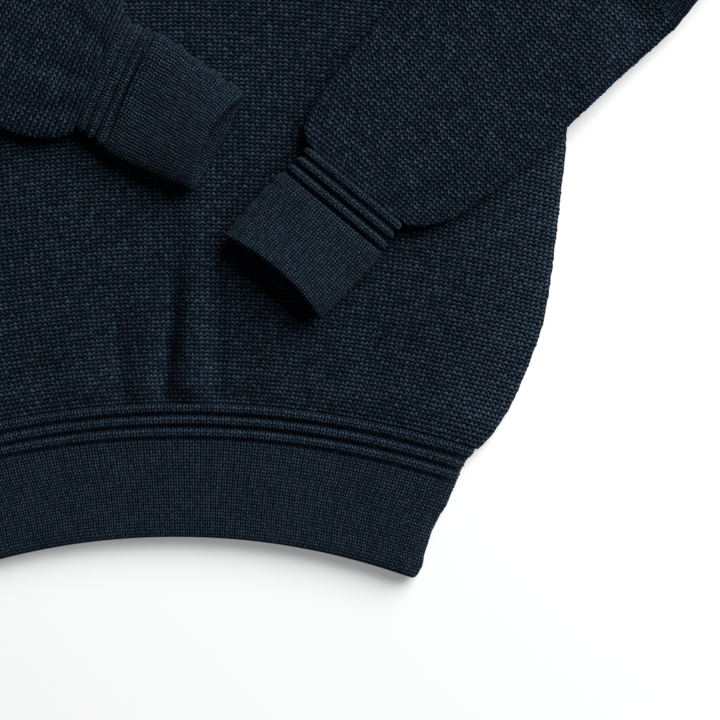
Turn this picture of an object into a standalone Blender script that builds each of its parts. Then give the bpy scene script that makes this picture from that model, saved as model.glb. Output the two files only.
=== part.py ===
"""A turtleneck sweater laid flat on its back, both sleeves folded in over the front.

Metres, +Z up. X runs across the body, Y from hem to collar, and the floor is z = 0.
While the pieces are made, x = 0 is the body's centre line and y = 0 is 10 mm below the
middle of the hem; at the end everything is moved so that the origin is the middle of the
whole part's footprint. Each piece is a wall of knitting with an outer and an inner face.
"""
import math

import bmesh
import bpy
import numpy as np

# Walls and seams
KNIT = 0.0045            # thick single knitting of body and sleeves
BAND = 0.0060            # bands are knitted double
COLLAR_KNIT = 0.0036
SEAM_GAP = 0.0003

# Heights of the layers that lie on each other
BODY_HEIGHT = 0.0125     # back and front together
BAND_HEIGHT = 0.0150
ARM_HEIGHT = 0.0125      # a flattened sleeve
FOLD_GAP = 0.0012        # between upper arm and forearm inside the elbow fold
FOREARM_FLOOR = 0.0131   # underside of a forearm that lies on the body
EDGE_ROUND = 0.0125      # how far in the body's edge starts to round down
EDGE_STEPS = (0.0, 0.0009, 0.0033, 0.0072)   # rows of points round that edge, from it inwards

# Body outline
SEAM_CENTRE_X = -0.008   # the hem seam's arch peaks a little left of the middle
SEAM_PEAK_Y = 0.1105
SEAM_DROP = 0.0352       # fall of the arch where it meets the side
SEAM_HALF = 0.212
ARMPIT = (0.285, 0.454)
SHOULDER = (0.259, 0.660)
NECK_POINT = (0.092, 0.692)
FRONT_NECK_DEPTH = 0.035
BACK_NECK_DEPTH = 0.010
NECK_CURVE = 2.5         # power of the neckline's curve
SIDE_CURL = (0.004, 0.030)   # the sides are rounded from this far below the armpit
TOP_CURL = 0.012         # and the shoulders from this far beside the neck point

# Side edge from the hem seam up to the armpit: it swells out over the narrow band
SIDE_EDGE = (
    # y, half_width
    (0.075, 0.2120),
    (0.0825, 0.2195),
    (0.0975, 0.2305),
    (0.1125, 0.2390),
    (0.1425, 0.2518),
    (0.1725, 0.2618),
    (0.2025, 0.2668),
    (0.2475, 0.2725),
    (0.316, 0.2790),
    (0.454, 0.2850),
)

# Folds of the front where it is gathered into the band, from their low to their high end
FRONT_FOLDS = (
    # x_low, x_high, y_high, width, height
    (-0.205, -0.212, 0.165, 0.0110, -0.0015),
    (-0.160, -0.168, 0.190, 0.0100, 0.0020),
    (-0.118, -0.122, 0.170, 0.0090, -0.0015),
    (-0.058, -0.0555, 0.180, 0.0070, -0.0025),
    (-0.040, -0.036, 0.200, 0.0100, 0.0020),
    (-0.0215, -0.0140, 0.225, 0.0055, -0.0040),
    (-0.0040, 0.0020, 0.230, 0.0085, 0.0050),
    (0.0100, 0.0165, 0.220, 0.0040, -0.0035),
    (0.030, 0.038, 0.200, 0.0140, -0.0015),
    (0.082, 0.080, 0.165, 0.0130, -0.0012),
    (0.132, 0.136, 0.175, 0.0120, -0.0012),
)
FOLD_TAIL = 1.23         # share of its length where a fold has died away
FOLD_FADE = 0.91         # over this share of its length
FOLD_ROOT = 0.35         # share of its fade that is left at the seam
FOLD_RISE = 0.020
ROLL_HEIGHT = 0.0022     # the front bulges over the band
ROLL_MIDDLE = 0.014
ROLL_WIDTH = 0.009

# Rows of points up a panel, as shares of its height: closer in the folds and at the armpit
FRONT_ROWS = (0.0, 0.012, 0.028, 0.050, 0.085, 0.125, 0.170, 0.220, 0.29, 0.38, 0.49,
              0.60, 0.66, 0.74, 0.87, 1.0)
BACK_ROWS = (0.0, 0.02, 0.07, 0.15, 0.25, 0.38, 0.50, 0.60, 0.66, 0.80, 1.0)
FRONT_NECK_COLUMNS = 19
BACK_NECK_COLUMNS = 13
SHOULDER_COLUMNS = 5

# Hem band: three raised ridges, then plain knitting to a folded lower edge
HEM_CENTRE_X = -0.015
HEM_PEAK_Y = 0.0098
HEM_DROP = 0.0310
HEM_POWER = 2.05
HEM_EDGE = (
    # share of the way from the seam to the folded edge, half_width
    (0.00, 0.2100),
    (0.035, 0.2085),
    (0.09, 0.2035),
    (0.16, 0.1998),
    (0.25, 0.1961),
    (0.42, 0.1890),
    (0.60, 0.1792),
    (0.75, 0.1740),
    (0.88, 0.1706),
    (1.00, 0.1690),
)
HEM_TOP_HALF = HEM_EDGE[0][1]
HEM_LOW_HALF = HEM_EDGE[-1][1]
RIDGES = 3
RIDGE_POWER = 0.7        # makes a ridge fuller than a half wave
HEM_RIDGE_PITCH = 0.0090
HEM_RIDGE_HEIGHT = 0.0024
CUFF_RIDGE_PITCH = 0.0088
CUFF_RIDGE_HEIGHT = 0.0020
FOLD_EDGE = 0.0022       # rounding of a band's folded edge
HEM_FRONT_COLUMNS = 19
HEM_BACK_COLUMNS = 15
HEM_PLAIN_ROWS = 4

# A forearm, from its cuff end back towards the elbow. The axis lies off the middle: the
# underarm side swells faster than the upper side.
FOREARM = (
    # back, under_half, upper_half, height
    (0.000, 0.0480, 0.0485, 0.0170),
    (0.006, 0.0565, 0.0570, 0.0170),
    (0.030, 0.0700, 0.0640, 0.0158),
    (0.059, 0.0770, 0.0675, 0.0146),
    (0.095, 0.0835, 0.0690, 0.0136),
    (0.141, 0.0880, 0.0715, 0.0128),
    (0.194, 0.0925, 0.0745, 0.0125),
    (0.249, 0.0985, 0.0765, 0.0125),
)
CUT_ROW = 4              # the row where a sleeve is made in two lengths

# Where each forearm lies: its cuff end, the direction back to the elbow, and the fold line
ARMS = {
    "right": {
        "wrist": (0.1212, 0.2731),
        "wrist_deg": 140.5,
        "back_deg": 48.0,
        "crease_low": (0.4000, 0.4415),
        "crease_high": (0.3395, 0.6280),
        "out": 1,
    },
    "left": {
        "wrist": (-0.0714, 0.3571),
        "wrist_deg": 67.0,
        "back_deg": 150.0,
        "crease_low": (-0.3717, 0.4030),
        "crease_high": (-0.3774, 0.5950),
        "out": -1,
    },
}
SAG = 0.0075             # a forearm sinks where neither body nor upper arm is under it
SAG_START = 0.014        # this far out from their edges
SAG_REACH = 0.045
WRIST_TURN = 0.040       # over this length a sleeve's rings turn square to its axis
UPPER_ARM_SHARES = (0.0, 0.30, 0.62, 0.92)   # rings from the armhole to the fold line
FOLD_TURNS = (0, 36, 72, 108, 144, 180)      # degrees round the elbow's fold
ELBOW_SHARES = (0.12, 0.40, 0.70)            # rings from the fold line to the forearm
TUBE_POINTS = 20         # points round a sleeve or a cuff
SLEEVE_POWER = 4.5       # how squarely a flattened tube turns at its two edges
CUFF_POWER = 3.5

# Each cuff runs on from the wrist to the middle of its folded edge. The left one narrows.
CUFFS = {
    "right": {"end": (0.0585, 0.2042), "end_deg": 139.2, "lip": 1.00},
    "left": {"end": (0.0185, 0.3042), "end_deg": 62.0, "lip": 0.86},
}
CUFF_SHAPE = (
    # share of the plain part, half_width, height, underside
    (0.00, 0.0470, 0.0185, 0.0135),
    (0.14, 0.0490, 0.0205, 0.0135),
    (0.50, 0.0488, 0.0205, 0.0145),
    (0.85, 0.0483, 0.0205, 0.0160),
    (0.97, 0.0480, 0.0200, 0.0165),
    (1.00, 0.0480, 0.0198, 0.0166),
)
WRIST_HALF = 0.0440      # the ridges draw the sleeve in
WRIST_HEIGHT = 0.0165
WRIST_SPREAD = 0.0010    # and it opens again over them

# Turned-over collar
COLLAR_TOP_Y = 0.770
COLLAR_HALF = 0.087
COLLAR_SLIT = 0.0020     # between its front and its back
COLLAR_FOLD_GAP = 0.0006
COLLAR_FRONT_LAP = 0.004     # the turned-down edge reaches past the seam in front
COLLAR_BACK_SHORT = 0.016    # and stops short of it behind
COLLAR_SIDE_RISE = 0.006     # at the sides it ends above the neck point
COLLAR_LAP_START = 0.75      # share of the collar's thickness where its faces' edges start
COLLAR_EASE = 0.30           # share of the height over which it narrows from the neckline
COLLAR_POINTS = 28
COLLAR_POWER = 4.0
COLLAR_RISES = (0.0, 0.12, 0.30, 0.60, 1.0)  # rings on the way up
COLLAR_FALLS = (1.0, 0.66, 0.33, 0.0)        # and on the way down
COLLAR_TURNS = (45, 90, 135)                 # degrees round its fold

NAVY = (0.012, 0.020, 0.036, 1.0)
NAVY_BAND = (0.013, 0.022, 0.039, 1.0)


def smooth_between(table, x, column=1):
    """Value of a column of the table at x, on a monotone cubic through its rows."""
    xs = np.array([row[0] for row in table])
    ys = np.array([row[column] for row in table])
    steps = np.diff(ys) / np.diff(xs)
    slopes = np.zeros(len(xs))
    slopes[0] = steps[0]
    slopes[-1] = steps[-1]
    for i in range(1, len(xs) - 1):
        if steps[i - 1] * steps[i] > 0:
            slopes[i] = 2 * steps[i - 1] * steps[i] / (steps[i - 1] + steps[i])
    i = int(np.clip(np.searchsorted(xs, x) - 1, 0, len(xs) - 2))
    span = xs[i + 1] - xs[i]
    t = min(max((x - xs[i]) / span, 0.0), 1.0)
    return (
        ys[i] * (1 + 2 * t) * (1 - t) ** 2
        + ys[i + 1] * t * t * (3 - 2 * t)
        + span * slopes[i] * t * (1 - t) ** 2
        + span * slopes[i + 1] * t * t * (t - 1)
    )


def smoothstep(t):
    """0 below t = 0, 1 above t = 1, and soft between."""
    t = min(max(t, 0.0), 1.0)
    return t * t * (3 - 2 * t)


def mix(a, b, t):
    """The point or number a share t of the way from a to b."""
    return np.asarray(a, float) * (1 - t) + np.asarray(b, float) * t


def bell(distance, width):
    """A smooth hump, 1 in the middle."""
    return math.exp(-0.5 * (distance / width) ** 2)


def quarter_round(distance, reach):
    """0 at an edge and 1 from reach inwards, on a quarter of an ellipse."""
    t = min(max(distance / reach, 0.0), 1.0)
    return math.sqrt(1 - (1 - t) ** 2)


def wall_object(name, outer, inner, material, wrap=False):
    """A closed wall between two grids of points. With wrap its columns go all round."""
    rows, columns = len(outer), len(outer[0])
    mesh = bmesh.new()
    faces_of = []
    for grid in (outer, inner):
        faces_of.append([[mesh.verts.new(point) for point in row] for row in grid])
    out, within = faces_of
    last = columns if wrap else columns - 1
    for i in range(rows - 1):
        for j in range(last):
            k = (j + 1) % columns
            mesh.faces.new((out[i][j], out[i][k], out[i + 1][k], out[i + 1][j]))
            mesh.faces.new((within[i][j], within[i + 1][j], within[i + 1][k], within[i][k]))
    for j in range(last):
        k = (j + 1) % columns
        mesh.faces.new((out[0][k], out[0][j], within[0][j], within[0][k]))
        mesh.faces.new((out[-1][j], out[-1][k], within[-1][k], within[-1][j]))
    if not wrap:
        for i in range(rows - 1):
            mesh.faces.new((out[i][0], out[i + 1][0], within[i + 1][0], within[i][0]))
            mesh.faces.new((out[i + 1][-1], out[i][-1], within[i][-1], within[i + 1][-1]))
    bmesh.ops.recalc_face_normals(mesh, faces=mesh.faces)
    data = bpy.data.meshes.new(name)
    mesh.to_mesh(data)
    mesh.free()
    data.shade_smooth()
    data.materials.append(material)
    placed = bpy.data.objects.new(name, data)
    bpy.context.scene.collection.objects.link(placed)
    return placed


def knit_material(name, colour):
    """Matt wool in one colour."""
    material = bpy.data.materials.new(name)
    material.use_nodes = True
    shader = material.node_tree.nodes["Principled BSDF"]
    shader.inputs["Base Color"].default_value = colour
    shader.inputs["Roughness"].default_value = 0.9
    shader.inputs["Metallic"].default_value = 0.0
    return material


# Body: front and back

def half_width(y):
    """Half of the body's width at a height of its side edge."""
    if y <= ARMPIT[1]:
        return smooth_between(SIDE_EDGE, y)
    share = (y - ARMPIT[1]) / (SHOULDER[1] - ARMPIT[1])
    return ARMPIT[0] + (SHOULDER[0] - ARMPIT[0]) * share


def seam_y(x):
    """Height of the arched seam between body and hem band."""
    share = (x - SEAM_CENTRE_X) / (SEAM_HALF - SEAM_CENTRE_X)
    return SEAM_PEAK_Y - SEAM_DROP * share * share


def neck_y(x, depth):
    """Height of the neckline."""
    share = min(abs(x) / NECK_POINT[0], 1.0)
    return NECK_POINT[1] - depth * (1 - share ** NECK_CURVE)


def panel_top_y(x, depth):
    """Height of a panel's upper edge: neckline in the middle, shoulders beside it."""
    if abs(x) <= NECK_POINT[0]:
        return neck_y(x, depth)
    share = (abs(x) - NECK_POINT[0]) / (SHOULDER[0] - NECK_POINT[0])
    return NECK_POINT[1] + (SHOULDER[1] - NECK_POINT[1]) * min(share, 1.0)


def front_relief(x, y, above_seam):
    """How far the folds and the roll over the band lift the front."""
    lift = ROLL_HEIGHT * bell(above_seam - ROLL_MIDDLE, ROLL_WIDTH)
    for x_low, x_high, y_high, width, height in FRONT_FOLDS:
        run = (y - SEAM_PEAK_Y) / (y_high - SEAM_PEAK_Y)
        fade = smoothstep((FOLD_TAIL - run) / FOLD_FADE)
        fade *= smoothstep(FOLD_ROOT + above_seam / FOLD_RISE)
        lift += height * fade * bell(x - (x_low + (x_high - x_low) * run), width)
    return lift


def panel_y(x, width, share, step, depth):
    """Height of a panel's point: a share of the way up, or a step below the upper edge."""
    span_u = x / width
    low = seam_y(span_u * SEAM_HALF) + SEAM_GAP / 2
    high = panel_top_y(span_u * SHOULDER[0], depth) - SEAM_GAP / 2
    if share is None:
        return high - step, low, high
    return mix(low, high - EDGE_ROUND, share), low, high


def body_panel(name, columns, rows, depth, side, material):
    """One body panel. side is 1 for the front and -1 for the back, which rests flat."""
    outer, inner = [], []
    middle = BODY_HEIGHT / 2 + side * SEAM_GAP / 2
    half = BODY_HEIGHT / 2 - SEAM_GAP / 2
    steps = [(row, None) for row in rows] + [(None, step) for step in EDGE_STEPS[::-1]]
    for share, step in steps:
        y_side = SHOULDER[1] - (step or 0.0)
        if share is not None:
            y_side = mix(seam_y(SEAM_HALF), SHOULDER[1] - EDGE_ROUND, share)
        width = half_width(y_side) - (SEAM_GAP if y_side > ARMPIT[1] else 0.0)
        side_curl = smoothstep((ARMPIT[1] - SIDE_CURL[0] - y_side) / SIDE_CURL[1])
        outer_row, inner_row = [], []
        for column, edge in columns:
            from_side = EDGE_ROUND if edge is None else edge
            x = column * (width - from_side)
            y, low, high = panel_y(x, width, share, step, depth)
            beside_neck = abs(x / width) * SHOULDER[0] - NECK_POINT[0]
            top_curl = smoothstep(beside_neck / TOP_CURL)
            from_top = min(high - y, EDGE_ROUND)
            fall = 1 - side_curl * (1 - quarter_round(from_side, EDGE_ROUND))
            fall *= 1 - top_curl * (1 - quarter_round(from_top, EDGE_ROUND))
            lift = front_relief(x, y, y - low) * fall if side > 0 else 0.0
            x_in = x - math.copysign(KNIT * side_curl * (1 - from_side / EDGE_ROUND), x)
            y_in = panel_y(x_in, width, share, step, depth)[0]
            y_in -= KNIT * top_curl * (1 - from_top / EDGE_ROUND)
            outer_row.append((x, y, middle + side * half * fall + lift))
            inner_row.append((x_in, y_in, middle + side * (half - KNIT) * fall + lift))
        outer.append(outer_row)
        inner.append(inner_row)
    return wall_object(name, outer, inner, material)


def panel_columns(positions):
    """Columns of a panel: shares of its width, then closer steps round each side edge."""
    left = [(-1.0, step) for step in EDGE_STEPS]
    right = [(1.0, step) for step in EDGE_STEPS[::-1]]
    return left + [(position, None) for position in positions] + right


def panel_shares(neck_columns):
    """Columns across the neck opening and, further apart, across the shoulders."""
    neck = NECK_POINT[0] / (SHOULDER[0] - EDGE_ROUND)
    beside = np.linspace(neck, 1, SHOULDER_COLUMNS + 1)[1:]
    return np.concatenate((-beside[::-1], np.linspace(-neck, neck, neck_columns), beside))


def make_body(material):
    """Front and back."""
    front_columns = panel_columns(panel_shares(FRONT_NECK_COLUMNS))
    back_columns = panel_columns(panel_shares(BACK_NECK_COLUMNS))
    body_panel("front", front_columns, FRONT_ROWS, FRONT_NECK_DEPTH, 1, material)
    body_panel("back", back_columns, BACK_ROWS, BACK_NECK_DEPTH, -1, material)


# Hem band

def ridge_lift(distance, pitch, height):
    """Rounded ridges side by side, zero in the grooves between them and past the last."""
    if distance < 0 or distance > RIDGES * pitch:
        return 0.0
    return height * math.sin(math.pi * (distance % pitch) / pitch) ** RIDGE_POWER


def hem_y(x):
    """Height of the arched lower edge of the hem."""
    share = abs(x - HEM_CENTRE_X) / (HEM_LOW_HALF - HEM_CENTRE_X)
    return HEM_PEAK_Y - HEM_DROP * share ** HEM_POWER


def hem_panel_y(x, width, share):
    """Height of a point of the hem band, a share of the way from its seam to its edge."""
    high = seam_y(x / width * HEM_TOP_HALF) - SEAM_GAP / 2
    return mix(high, hem_y(x / width * HEM_LOW_HALF), share)


def hem_panel(name, side, positions, distances, material):
    """One half of the hem band, from the seam down to its folded edge."""
    middle = BAND_HEIGHT / 2 + side * SEAM_GAP / 2
    half = BAND_HEIGHT / 2 - SEAM_GAP / 2
    length = SEAM_PEAK_Y - HEM_PEAK_Y - SEAM_GAP
    outer, inner = [], []
    for distance in distances:
        share = distance / length
        rounding = FOLD_EDGE * (1 - quarter_round(length - distance, FOLD_EDGE * 2))
        width = smooth_between(HEM_EDGE, share)
        outer_row, inner_row = [], []
        for column, edge in panel_columns(positions):
            from_side = EDGE_ROUND if edge is None else edge
            fall = quarter_round(from_side, EDGE_ROUND)
            ridge = ridge_lift(distance, HEM_RIDGE_PITCH, HEM_RIDGE_HEIGHT) if side > 0 else 0.0
            x = column * (width - from_side)
            x_in = x - math.copysign(BAND * (1 - from_side / EDGE_ROUND), x)
            outer_z = middle + side * (half - rounding + ridge) * fall
            inner_z = middle + side * (half - BAND + rounding) * fall
            outer_row.append((x, hem_panel_y(x, width, share), outer_z))
            inner_row.append((x_in, hem_panel_y(x_in, width, share), inner_z))
        outer.append(outer_row)
        inner.append(inner_row)
    return wall_object(name, outer, inner, material)


def make_hem(material):
    """Front and back halves of the hem band."""
    length = SEAM_PEAK_Y - HEM_PEAK_Y - SEAM_GAP
    ridge_rows = [HEM_RIDGE_PITCH * k / 3 for k in range(3 * RIDGES + 1)]
    plain = np.linspace(ridge_rows[-1], length - 2 * FOLD_EDGE, HEM_PLAIN_ROWS + 1)
    lower_rows = list(plain[1:]) + [length - FOLD_EDGE, length - 0.3 * FOLD_EDGE, length]
    hem_panel("hem_front", 1, np.linspace(-1, 1, HEM_FRONT_COLUMNS), ridge_rows + lower_rows,
              material)
    hem_panel("hem_back", -1, np.linspace(-1, 1, HEM_BACK_COLUMNS), [0.0] + lower_rows, material)


# Sleeves and cuffs

def ring_shares(count, power):
    """Points round a flattened tube: share of the half width, share of the half height."""
    shares = []
    for k in range(count):
        angle = 2 * math.pi * (k + 0.5) / count
        across = math.cos(angle)
        upward = (1 - abs(across) ** power) ** (1 / power)
        shares.append((across, math.copysign(upward, math.sin(angle))))
    return shares


def direction(degrees):
    """A horizontal unit vector."""
    return np.array((math.cos(math.radians(degrees)), math.sin(math.radians(degrees))))


def forearm_lift(x, y, arm):
    """Height of a forearm's underside: on the body or upper arm, or sunk beside them."""
    out = arm["out"]
    beside = out * x - half_width(y)
    low = np.array(arm["crease_low"])
    pit = np.array((out * ARMPIT[0], ARMPIT[1]))
    run = np.clip((x - pit[0]) / (low[0] - pit[0]), 0.0, 1.0)
    below = pit[1] + (low[1] - pit[1]) * run - y
    free = smoothstep((min(beside, below) - SAG_START) / SAG_REACH)
    return FOREARM_FLOOR - SAG * free


def upper_arm_edges(arm):
    """Edge points, height and rise of the rings that lie on the floor: their rise is None."""
    out = arm["out"]
    armpit = np.array((out * ARMPIT[0], ARMPIT[1]))
    shoulder = np.array((out * SHOULDER[0], SHOULDER[1]))
    low, high = np.array(arm["crease_low"]), np.array(arm["crease_high"])
    lean = (shoulder - armpit) / np.linalg.norm(shoulder - armpit)
    clear = np.array((lean[1], -lean[0])) * out * SEAM_GAP
    return [
        (mix(armpit + clear, low, share), mix(shoulder + clear, high, share), ARM_HEIGHT, None)
        for share in UPPER_ARM_SHARES
    ]


def forearm_edges(arm, row, gap=0.0):
    """The same of a ring in the forearm's table, a gap further back."""
    distance, under_half, upper_half, height = row
    square = arm["back_deg"] + 90 * arm["out"]
    across = direction(mix(arm["wrist_deg"], square, smoothstep(distance / WRIST_TURN)))
    axis = np.array(arm["wrist"]) + direction(arm["back_deg"]) * (distance + gap)
    return axis - across * under_half, axis + across * upper_half, height, 0.0


def elbow_edges(arm):
    """The same of the rings from the fold line to the cut across the forearm."""
    low, high = np.array(arm["crease_low"]), np.array(arm["crease_high"])
    last = forearm_edges(arm, FOREARM[-1])
    edges = []
    for share in ELBOW_SHARES:
        rise = FOLD_GAP * (1 - smoothstep(share / ELBOW_SHARES[1]))
        edges.append((mix(low, last[0], share), mix(high, last[1], share), ARM_HEIGHT, rise))
    edges += [forearm_edges(arm, row) for row in FOREARM[:CUT_ROW:-1]]
    return edges + [forearm_edges(arm, FOREARM[CUT_ROW], SEAM_GAP)]


def level_ring(arm, under, upper, height, rise, wall):
    """A level ring between two edge points. The fold turned the forearm's rings over."""
    across, centre = (upper - under) / 2, (upper + under) / 2
    inset = 1 - wall / np.linalg.norm(across)
    ring = []
    for a, b in ring_shares(TUBE_POINTS, SLEEVE_POWER):
        x, y = centre + across * a * inset
        low = 0.0 if rise is None else forearm_lift(x, y, arm) + rise
        side = 1 if rise is None else -1
        ring.append((x, y, low + height / 2 + side * (height / 2 - wall) * b))
    return ring


def fold_ring(arm, degrees, wall):
    """A ring on the way round the elbow's fold, which turns the flattened sleeve over."""
    low, high = np.array(arm["crease_low"]), np.array(arm["crease_high"])
    half = np.linalg.norm(high - low) / 2
    crease = (high - low) / (2 * half)
    outward = np.array((crease[1], -crease[0])) * arm["out"]
    bend = (ARM_HEIGHT + FOLD_GAP) / 2
    turn = math.radians(degrees)
    centre = (low + high) / 2 + outward * bend * math.sin(turn)
    ring = []
    for a, b in ring_shares(TUBE_POINTS, SLEEVE_POWER):
        normal = (ARM_HEIGHT / 2 - wall) * b
        x, y = centre + crease * (half - wall) * a - outward * normal * math.sin(turn)
        ring.append((x, y, ARM_HEIGHT + FOLD_GAP / 2 + (normal - bend) * math.cos(turn)))
    return ring


def sleeve_grid(arm, wall):
    """Rings from the armhole round the elbow to the cut, a wall in from the outer face."""
    grid = [level_ring(arm, *edges, wall) for edges in upper_arm_edges(arm)]
    grid += [fold_ring(arm, degrees, wall) for degrees in FOLD_TURNS]
    return grid + [level_ring(arm, *edges, wall) for edges in elbow_edges(arm)]


def forearm_grid(arm, wall):
    """Rings from the cut to the wrist."""
    return [level_ring(arm, *forearm_edges(arm, row), wall) for row in FOREARM[CUT_ROW::-1]]


def cuff_grids(arm, cuff):
    """Outer and inner rings of a cuff: ridges, then the plain band to its folded edge."""
    start, end = np.array(arm["wrist"]), np.array(cuff["end"])
    length = np.linalg.norm(end - start)
    along = (end - start) / length
    ridge_end = RIDGES * CUFF_RIDGE_PITCH
    plain = length - ridge_end
    stations = [SEAM_GAP] + [CUFF_RIDGE_PITCH * k / 3 for k in range(1, 3 * RIDGES + 1)]
    stations += [ridge_end + plain * row[0] for row in CUFF_SHAPE[1:]]
    outer, inner = [], []
    for distance in stations:
        centre = start + along * distance
        degrees = mix(arm["wrist_deg"], cuff["end_deg"], distance / length)
        across = direction(degrees)
        share = max(0.0, (distance - ridge_end) / plain)
        half = smooth_between(CUFF_SHAPE, share, 1) * mix(1.0, cuff["lip"], share)
        height = smooth_between(CUFF_SHAPE, share, 2)
        floor = smooth_between(CUFF_SHAPE, share, 3)
        if distance < ridge_end:
            ease = smoothstep(distance / ridge_end)
            half = WRIST_HALF + WRIST_SPREAD * ease
            height = WRIST_HEIGHT + WRIST_SPREAD * ease
            floor = FOREARM_FLOOR + CUFF_RIDGE_HEIGHT
        swell = ridge_lift(distance, CUFF_RIDGE_PITCH, CUFF_RIDGE_HEIGHT)
        rounding = FOLD_EDGE * (1 - quarter_round(length - distance, FOLD_EDGE * 2))
        for grid, wall in ((outer, -swell + rounding), (inner, BAND - rounding)):
            row = []
            for a, b in ring_shares(TUBE_POINTS, CUFF_POWER):
                spot = centre + across * (half - wall) * a
                row.append((spot[0], spot[1], floor + height / 2 + (height / 2 - wall) * b))
            grid.append(row)
    return outer, inner


def make_sleeves(knit, band):
    """Both sleeves, each in two lengths, and both cuffs."""
    for name, arm in ARMS.items():
        for part, make_grid in (("sleeve_", sleeve_grid), ("forearm_", forearm_grid)):
            wall_object(part + name, make_grid(arm, 0.0), make_grid(arm, KNIT), knit, wrap=True)
        outer, inner = cuff_grids(arm, CUFFS[name])
        wall_object("cuff_" + name, outer, inner, band, wrap=True)


# Collar

def collar_low_y(x, b, stretch):
    """Lower end of the collar's wall: at the seam, or at the turned-down edge."""
    seam = neck_y(x, FRONT_NECK_DEPTH if b > 0 else BACK_NECK_DEPTH) + SEAM_GAP
    if stretch != "down":
        return seam
    low = seam - COLLAR_FRONT_LAP if b > 0 else seam + COLLAR_BACK_SHORT
    face = smoothstep((abs(b) - COLLAR_LAP_START) / (1 - COLLAR_LAP_START))
    return mix(NECK_POINT[1] + COLLAR_SIDE_RISE, low, face)


def make_collar(material):
    """A tube from the neckline up, turned over outwards and down again."""
    bend = (COLLAR_KNIT + COLLAR_FOLD_GAP) / 2
    inner_leg = COLLAR_SLIT / 2 + COLLAR_KNIT / 2
    outer_leg = inner_leg + 2 * bend
    level = outer_leg + COLLAR_KNIT / 2
    seam_level = BODY_HEIGHT / 2
    seam_leg = BODY_HEIGHT / 2 - KNIT + COLLAR_KNIT / 2
    outside, inside = [], []
    path = []
    for share in COLLAR_RISES:
        ease = smoothstep(share / COLLAR_EASE)
        path.append(("up", share, mix(seam_leg, inner_leg, ease), mix(seam_level, level, ease), 0))
    for degrees in COLLAR_TURNS:
        path.append(("turn", 1.0, inner_leg + bend, level, degrees))
    for share in COLLAR_FALLS:
        path.append(("down", share, outer_leg, level, 180))
    for stretch, share, leg, middle, degrees in path:
        out_row, in_row = [], []
        turn = math.radians(degrees)
        for a, b in ring_shares(COLLAR_POINTS, COLLAR_POWER):
            for row, offset in ((out_row, COLLAR_KNIT / 2), (in_row, -COLLAR_KNIT / 2)):
                reach, rise = leg, 0.0
                if stretch == "up":
                    reach -= offset
                elif stretch == "down":
                    reach += offset
                else:
                    reach -= (bend + offset) * math.cos(turn)
                    rise = (bend + offset) * math.sin(turn)
                x = (COLLAR_HALF + reach) * a
                low = collar_low_y(x, b, stretch)
                row.append((x, mix(low, COLLAR_TOP_Y - bend, share) + rise, middle + reach * b))
        outside.append(out_row)
        inside.append(in_row)
    return wall_object("collar", outside, inside, material, wrap=True)


def centre_on_footprint():
    """Moves every piece so that the origin is the middle of the footprint, on the floor."""
    points = [v.co for o in bpy.data.objects for v in o.data.vertices]
    shift = [-(min(p[k] for p in points) + max(p[k] for p in points)) / 2 for k in (0, 1)]
    shift.append(-min(p[2] for p in points))
    for placed in bpy.data.objects:
        for vertex in placed.data.vertices:
            vertex.co.x += shift[0]
            vertex.co.y += shift[1]
            vertex.co.z += shift[2]


def main():
    for existing in list(bpy.data.objects):
        bpy.data.objects.remove(existing)
    knit = knit_material("wool_knit", NAVY)
    band = knit_material("wool_band", NAVY_BAND)
    make_body(knit)
    make_hem(band)
    make_sleeves(knit, band)
    make_collar(band)
    centre_on_footprint()


main()
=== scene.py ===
# %% [markdown]
# # A turtleneck sweater, laid flat with its sleeves folded in over the front
#
# The sweater lies on its back on a white table and is seen from straight above, close in:
# the picture holds the lower right of the body, the ridged hem band and the two forearms with
# their ridged cuffs. The whole garment is there all the same, collar and elbows too.
#
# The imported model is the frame. Each of its walls is made again here as a finer wall of
# knitting in the same place, with folds, ridges and stitches, and then stands for it.

# %% Load the frame
import math

import bpy
import numpy as np
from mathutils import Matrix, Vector


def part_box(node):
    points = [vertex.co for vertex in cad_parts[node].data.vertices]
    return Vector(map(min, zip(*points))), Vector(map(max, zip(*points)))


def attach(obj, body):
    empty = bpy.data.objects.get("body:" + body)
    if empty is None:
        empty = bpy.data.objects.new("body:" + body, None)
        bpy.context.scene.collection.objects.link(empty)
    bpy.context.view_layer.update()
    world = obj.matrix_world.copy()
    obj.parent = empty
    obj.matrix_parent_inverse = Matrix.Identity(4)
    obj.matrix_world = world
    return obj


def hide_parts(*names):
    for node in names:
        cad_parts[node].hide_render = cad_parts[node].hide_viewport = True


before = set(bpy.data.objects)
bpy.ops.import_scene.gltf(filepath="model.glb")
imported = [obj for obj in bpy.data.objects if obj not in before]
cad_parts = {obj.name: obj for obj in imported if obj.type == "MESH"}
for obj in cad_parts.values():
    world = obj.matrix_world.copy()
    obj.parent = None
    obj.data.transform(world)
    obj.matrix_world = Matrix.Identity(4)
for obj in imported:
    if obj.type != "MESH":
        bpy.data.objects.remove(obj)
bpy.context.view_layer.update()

# %% [markdown]
# ## Where the body's middle line is
#
# It is easiest to say where a fold or a seam is from the body's own middle line and its hem.
# The frame's origin is the middle of the whole footprint instead, so every finished point is
# moved over by one step. The step comes from the frame itself: the front is as wide to the
# left as to the right, and the collar's top edge is 771.8 mm up.

# %% The step from the body's middle to the frame
COLLAR_TIP_Y = 0.7718
front_low, front_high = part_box("front")
STEP = np.array((
    (front_low[0] + front_high[0]) / 2,
    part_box("collar")[1][1] - COLLAR_TIP_Y,
    0.0,
))
print("body's middle line to frame, mm:", (STEP * 1000).round(2))

# %% [markdown]
# ## Soft curves
#
# Cloth has no sharp steps, so nearly every form here is one of four curves: a soft step, a
# hump, the quarter circle of a rounded edge, and a smooth line through the rows of a table.

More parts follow.
